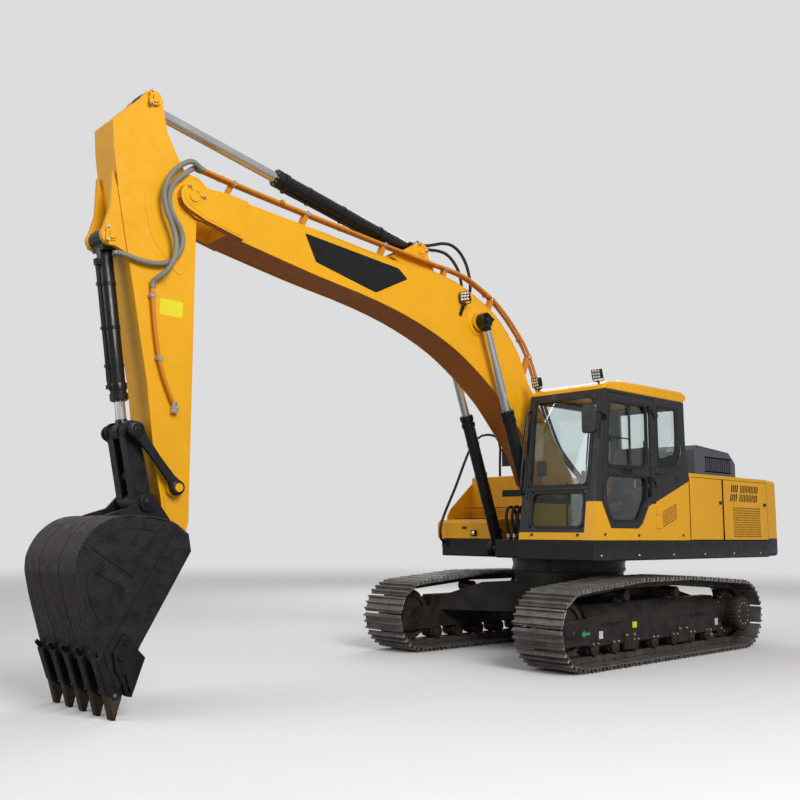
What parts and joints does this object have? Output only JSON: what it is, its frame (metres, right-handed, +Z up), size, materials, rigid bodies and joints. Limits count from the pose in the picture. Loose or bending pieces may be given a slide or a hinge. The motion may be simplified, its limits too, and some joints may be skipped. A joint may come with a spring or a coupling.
{
  "type": "crawler excavator",
  "caption": "Hydraulic crawler excavator with cab, counterweight, boom, arm and bucket worked by cylinders, on steel tracks",
  "frame": {"origin": "on the ground under the middle of the bounding box", "axes": "+X forward to the bucket, +Y to the left (cab side), +Z up"},
  "size_m": [9.2196, 2.8, 4.9415],
  "materials": {
    "yellow_paint": "gloss enamel, orange yellow",
    "charcoal_paint": "semi-gloss charcoal paint",
    "black_paint": "semi-gloss black paint with dust",
    "track_steel": "worn rolled steel with dry soil",
    "worn_steel": "bucket plate polished by soil",
    "rod_chrome": "hard chrome",
    "tinted_glass": "green tinted safety glass",
    "seat_cloth": "dark woven seat cloth",
    "dark_plastic": "moulded plastic",
    "hose_rubber": "dusty rubber hose"
  },
  "bodies": {
    "undercarriage": {"centre_frame": "black_paint", "swing_ring": "track_steel", "left_track_frame": "black_paint", "left_track": "track_steel", "left_sprocket": "black_paint", "left_idler": "track_steel", "right_track_frame": "black_paint", "right_track": "track_steel", "right_sprocket": "black_paint", "right_idler": "track_steel"},
    "upper": {"revolving_frame": "charcoal_paint", "counterweight": "yellow_paint", "body_shell": "yellow_paint", "engine_block": "charcoal_paint", "fuel_tank": "yellow_paint", "hydraulic_tank": "yellow_paint", "tool_box": "yellow_paint", "cab_shell": "charcoal_paint", "cab_roof": "yellow_paint", "windshield": "tinted_glass", "lower_windshield": "tinted_glass", "right_glass": "tinted_glass", "quarter_glass": "tinted_glass", "rear_glass": "tinted_glass", "seat_base": "dark_plastic", "seat": "seat_cloth", "travel_levers": "dark_plastic", "left_mirror": "charcoal_paint", "handrail": "charcoal_paint", "front_hoses": "hose_rubber", "lift_hoses": "hose_rubber"},
    "boom": {"boom": "yellow_paint", "boom_pipes": "yellow_paint", "ram_hoses": "hose_rubber"},
    "arm": {"arm": "yellow_paint", "arm_pipe": "yellow_paint", "arm_hose": "hose_rubber", "bucket_hose": "hose_rubber"},
    "bucket": {"bucket": "worn_steel"},
    "side_links": {"left_side_link": "black_paint", "right_side_link": "black_paint"},
    "bucket_link": {"bucket_link": "black_paint"},
    "left_boom_cylinder": {"left_boom_cylinder": "black_paint"},
    "right_boom_cylinder": {"right_boom_cylinder": "black_paint"},
    "left_boom_rod": {"left_boom_rod": "rod_chrome"},
    "right_boom_rod": {"right_boom_rod": "rod_chrome"},
    "arm_cylinder": {"arm_cylinder": "black_paint"},
    "arm_rod": {"arm_rod": "rod_chrome"},
    "bucket_cylinder": {"bucket_cylinder": "black_paint"},
    "bucket_rod": {"bucket_rod": "rod_chrome"},
    "cab_door": {"cab_door": "charcoal_paint", "door_glass": "tinted_glass"},
    "battery_door": {"battery_door": "yellow_paint"},
    "radiator_door": {"radiator_door": "yellow_paint"},
    "pump_door": {"pump_door": "yellow_paint"},
    "engine_hood": {"engine_hood": "charcoal_paint"}
  },
  "joints": [
    {"name": "swing", "type": "hinge", "parent": "undercarriage", "child": "upper", "pos_m": [-1.7098, 0, 1.06], "axis": [0, 0, 1], "continuous": true},
    {"name": "boom_lift", "type": "hinge", "parent": "upper", "child": "boom", "pos_m": [-1.5598, 0, 1.7], "axis": [0, -1, 0], "range_deg": [-58, 43], "deforming": ["front_hoses", "lift_hoses"]},
    {"name": "arm_reach", "type": "hinge", "parent": "boom", "child": "arm", "pos_m": [3.6551, 0, 4.0986], "axis": [0, -1, 0], "range_deg": [-18, 90], "deforming": ["arm_hose", "bucket_hose"]},
    {"name": "bucket_curl", "type": "hinge", "parent": "arm", "child": "bucket", "pos_m": [3.6908, 0, 1.1738], "axis": [0, 1, 0], "range_deg": [-5, 145]},
    {"name": "left_boom_cylinder_tilt", "type": "hinge", "parent": "upper", "child": "left_boom_cylinder", "pos_m": [-0.8048, 0.302, 1.158], "axis": [0, -1, 0], "range_deg": [-56.18, 41.9]},
    {"name": "left_boom_rod_stroke", "type": "slide", "parent": "left_boom_cylinder", "child": "left_boom_rod", "axis": [0.3502, 0, 0.9367], "range_m": [-0.8634, 0.6439]},
    {"name": "right_boom_cylinder_tilt", "type": "hinge", "parent": "upper", "child": "right_boom_cylinder", "pos_m": [-0.8048, -0.302, 1.158], "axis": [0, -1, 0], "range_deg": [-56.18, 41.9]},
    {"name": "right_boom_rod_stroke", "type": "slide", "parent": "right_boom_cylinder", "child": "right_boom_rod", "axis": [0.3502, 0, 0.9367], "range_m": [-0.8634, 0.6439]},
    {"name": "arm_cylinder_tilt", "type": "hinge", "parent": "boom", "child": "arm_cylinder", "pos_m": [0.8881, 0, 4.2513], "axis": [0, -1, 0], "range_deg": [-0.13, 0.61], "deforming": ["ram_hoses"]},
    {"name": "arm_rod_stroke", "type": "slide", "parent": "arm_cylinder", "child": "arm_rod", "axis": [0.9821, 0, 0.1884], "range_m": [-1.1644, 0.2439]},
    {"name": "side_link_swing", "type": "hinge", "parent": "arm", "child": "side_links", "pos_m": [3.7047, 0, 1.674], "axis": [0, 1, 0], "range_deg": [-4.97, 111.93]},
    {"name": "bucket_link_swing", "type": "hinge", "parent": "side_links", "child": "bucket_link", "pos_m": [4.0794, 0, 2.1086], "axis": [0, 1, 0], "range_deg": [-97.45, 4.32]},
    {"name": "bucket_cylinder_tilt", "type": "hinge", "parent": "arm", "child": "bucket_cylinder", "pos_m": [4.3257, 0, 3.6367], "axis": [0, -1, 0], "range_deg": [-0.24, 5.44]},
    {"name": "bucket_rod_stroke", "type": "slide", "parent": "bucket_cylinder", "child": "bucket_rod", "axis": [-0.1592, 0, -0.9873], "range_m": [-0.0414, 0.934]},
    {"name": "cab_door_hinge", "type": "hinge", "parent": "upper", "child": "cab_door", "pos_m": [-1.5048, 1.354, 1.9], "axis": [0, 0, 1], "range_deg": [0, 95]},
    {"name": "battery_door_hinge", "type": "hinge", "parent": "upper", "child": "battery_door", "pos_m": [-2.2258, 1.34, 1.6], "axis": [0, 0, -1], "range_deg": [0, 100]},
    {"name": "radiator_door_hinge", "type": "hinge", "parent": "upper", "child": "radiator_door", "pos_m": [-2.9758, 1.34, 1.6], "axis": [0, 0, -1], "range_deg": [0, 100]},
    {"name": "pump_door_hinge", "type": "hinge", "parent": "upper", "child": "pump_door", "pos_m": [-2.9758, -1.34, 1.6], "axis": [0, 0, 1], "range_deg": [0, 100]},
    {"name": "engine_hood_hinge", "type": "hinge", "parent": "upper", "child": "engine_hood", "pos_m": [-3.0138, 0, 2.0445], "axis": [0, 1, 0], "range_deg": [0, 60]}
  ],
  "couplings": [
    {"joint": "left_boom_cylinder_tilt", "follows": "boom_lift", "ratio": 0.9521},
    {"joint": "left_boom_rod_stroke", "follows": "boom_lift", "m_per_rad": 0.83833},
    {"joint": "right_boom_cylinder_tilt", "follows": "boom_lift", "ratio": 0.9521},
    {"joint": "right_boom_rod_stroke", "follows": "boom_lift", "m_per_rad": 0.83833},
    {"joint": "arm_cylinder_tilt", "follows": "arm_reach", "ratio": 0.00666},
    {"joint": "arm_rod_stroke", "follows": "arm_reach", "m_per_rad": -0.73251},
    {"joint": "side_link_swing", "follows": "bucket_curl", "ratio": 0.76401},
    {"joint": "bucket_link_swing", "follows": "bucket_curl", "ratio": -0.66519},
    {"joint": "bucket_cylinder_tilt", "follows": "bucket_curl", "ratio": 0.03715},
    {"joint": "bucket_rod_stroke", "follows": "bucket_curl", "m_per_rad": 0.36528}
  ]
}
